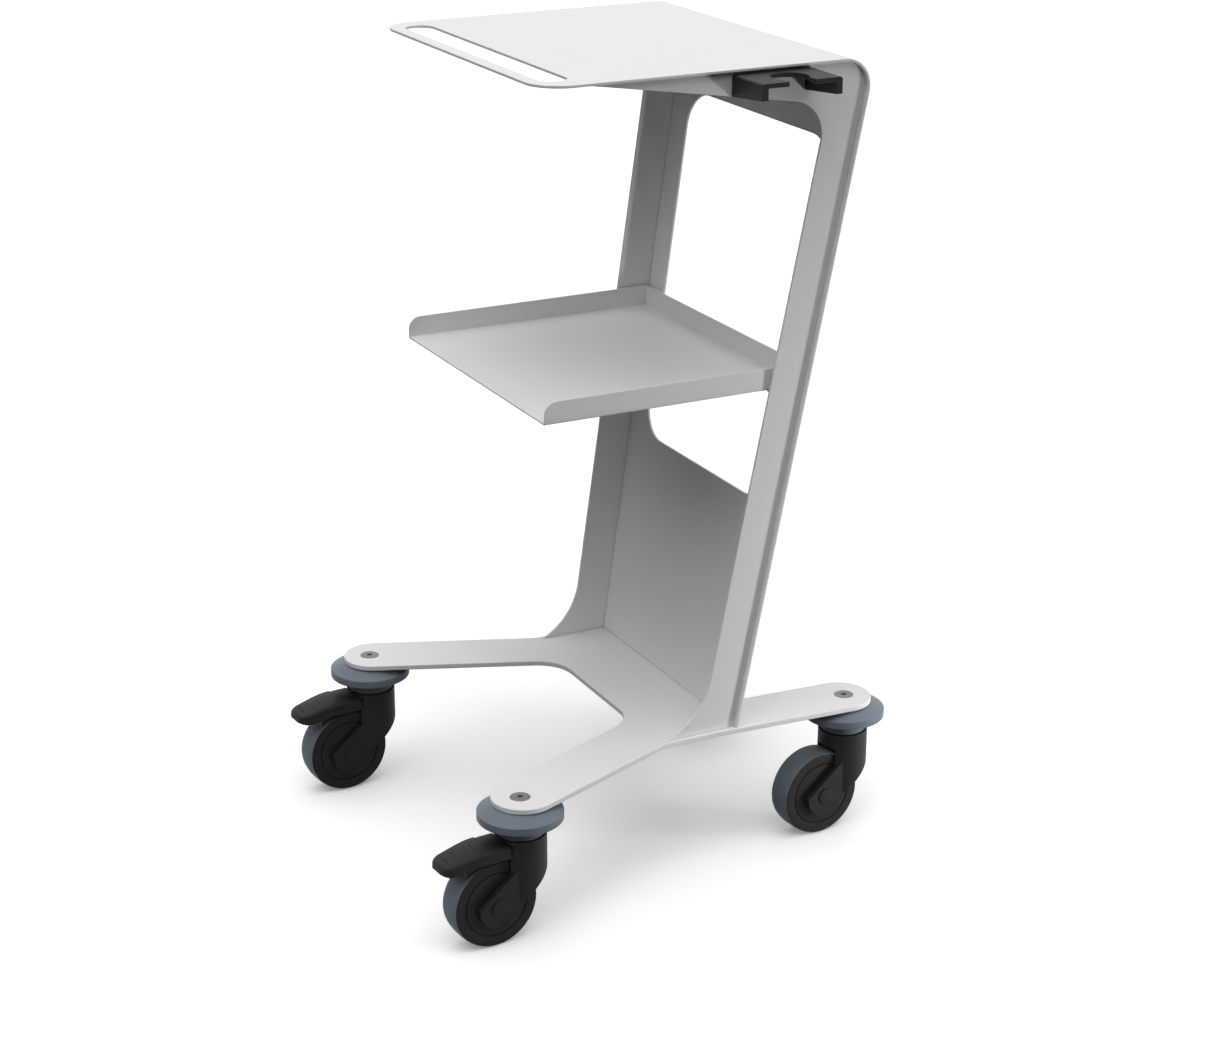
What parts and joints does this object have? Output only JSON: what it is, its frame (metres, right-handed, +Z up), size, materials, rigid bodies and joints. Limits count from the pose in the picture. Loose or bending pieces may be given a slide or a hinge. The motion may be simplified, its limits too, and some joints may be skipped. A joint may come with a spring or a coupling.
{
  "type": "medical equipment trolley",
  "caption": "Medical equipment trolley: bent sheet top and windowed back, side plates, shelf tray, splayed base on swivel casters with foot brakes, and a side holder.",
  "frame": {"origin": "floor level, at the middle of the overall footprint", "axes": "+Z up, -Y towards the open front where the user stands, +X to the side that carries the probe holder"},
  "size_m": [0.5174, 0.5932, 0.912],
  "materials": {
    "powder_coat": "light grey powder coat, fine satin texture",
    "shelf_powder_coat": "warm grey powder coat, fine satin texture",
    "black_plastic": "black moulded nylon, satin",
    "grey_plastic": "blue-grey moulded plastic, satin",
    "grey_rubber": "blue-grey non-marking rubber, matt",
    "steel": "zinc-plated steel, satin"
  },
  "bodies": {
    "frame": {"top_and_back_sheet": "powder_coat", "side_plate_left": "powder_coat", "side_plate_right": "powder_coat", "base_plate": "powder_coat", "shelf_tray": "shelf_powder_coat", "shelf_peg_left_front": "steel", "shelf_peg_left_rear": "steel", "shelf_peg_right_front": "steel", "shelf_peg_right_rear": "steel", "holder_screw_front": "steel", "holder_screw_rear": "steel", "probe_holder": "black_plastic", "front_left_bolt": "steel", "front_left_bumper_disc": "grey_plastic", "front_left_collar": "grey_plastic", "front_left_swivel_bearing": "steel", "front_left_swivel_stem": "steel", "front_right_bolt": "steel", "front_right_bumper_disc": "grey_plastic", "front_right_collar": "grey_plastic", "front_right_swivel_bearing": "steel", "front_right_swivel_stem": "steel", "rear_left_bolt": "steel", "rear_left_bumper_disc": "grey_plastic", "rear_left_collar": "grey_plastic", "rear_left_swivel_bearing": "steel", "rear_left_swivel_stem": "steel", "rear_right_bolt": "steel", "rear_right_bumper_disc": "grey_plastic", "rear_right_collar": "grey_plastic", "rear_right_swivel_bearing": "steel", "rear_right_swivel_stem": "steel"},
    "front_left_caster_fork": {"front_left_fork": "black_plastic", "front_left_axle": "black_plastic", "front_left_pedal_pin": "steel"},
    "front_left_caster_wheel": {"front_left_wheel_centre": "black_plastic", "front_left_tread": "grey_rubber", "front_left_wheel_bush": "steel"},
    "front_left_brake": {"front_left_brake_pedal": "black_plastic", "front_left_brake_shoe": "black_plastic"},
    "front_right_caster_fork": {"front_right_fork": "black_plastic", "front_right_axle": "black_plastic", "front_right_pedal_pin": "steel"},
    "front_right_caster_wheel": {"front_right_wheel_centre": "black_plastic", "front_right_tread": "grey_rubber", "front_right_wheel_bush": "steel"},
    "front_right_brake": {"front_right_brake_pedal": "black_plastic", "front_right_brake_shoe": "black_plastic"},
    "rear_left_caster_fork": {"rear_left_fork": "black_plastic", "rear_left_axle": "black_plastic"},
    "rear_left_caster_wheel": {"rear_left_wheel_centre": "black_plastic", "rear_left_tread": "grey_rubber", "rear_left_wheel_bush": "steel"},
    "rear_right_caster_fork": {"rear_right_fork": "black_plastic", "rear_right_axle": "black_plastic"},
    "rear_right_caster_wheel": {"rear_right_wheel_centre": "black_plastic", "rear_right_tread": "grey_rubber", "rear_right_wheel_bush": "steel"}
  },
  "joints": [
    {"name": "front_left_swivel", "type": "hinge", "parent": "frame", "child": "front_left_caster_fork", "pos_m": [-0.21225, -0.19551, 0.121], "axis": [0, 0, 1], "continuous": true},
    {"name": "front_left_wheel_spin", "type": "hinge", "parent": "front_left_caster_fork", "child": "front_left_caster_wheel", "pos_m": [-0.20946, -0.23411, 0.05], "axis": [0.9974, 0.072, 0], "continuous": true},
    {"name": "front_left_brake_lift", "type": "hinge", "parent": "front_left_caster_fork", "child": "front_left_brake", "pos_m": [-0.21095, -0.21346, 0.1145], "axis": [-0.9974, -0.072, 0], "range_deg": [0, 12]},
    {"name": "front_right_swivel", "type": "hinge", "parent": "frame", "child": "front_right_caster_fork", "pos_m": [0.20975, -0.19551, 0.121], "axis": [0, 0, 1], "continuous": true},
    {"name": "front_right_wheel_spin", "type": "hinge", "parent": "front_right_caster_fork", "child": "front_right_caster_wheel", "pos_m": [0.21254, -0.23411, 0.05], "axis": [0.9974, 0.072, 0], "continuous": true},
    {"name": "front_right_brake_lift", "type": "hinge", "parent": "front_right_caster_fork", "child": "front_right_brake", "pos_m": [0.21105, -0.21346, 0.1145], "axis": [-0.9974, -0.072, 0], "range_deg": [0, 12]},
    {"name": "rear_left_swivel", "type": "hinge", "parent": "frame", "child": "rear_left_caster_fork", "pos_m": [-0.14485, 0.25009, 0.121], "axis": [0, 0, 1], "continuous": true},
    {"name": "rear_left_wheel_spin", "type": "hinge", "parent": "rear_left_caster_fork", "child": "rear_left_caster_wheel", "pos_m": [-0.14206, 0.21149, 0.05], "axis": [0.9974, 0.072, 0], "continuous": true},
    {"name": "rear_right_swivel", "type": "hinge", "parent": "frame", "child": "rear_right_caster_fork", "pos_m": [0.14235, 0.25009, 0.121], "axis": [0, 0, 1], "continuous": true},
    {"name": "rear_right_wheel_spin", "type": "hinge", "parent": "rear_right_caster_fork", "child": "rear_right_caster_wheel", "pos_m": [0.14514, 0.21149, 0.05], "axis": [0.9974, 0.072, 0], "continuous": true}
  ]
}
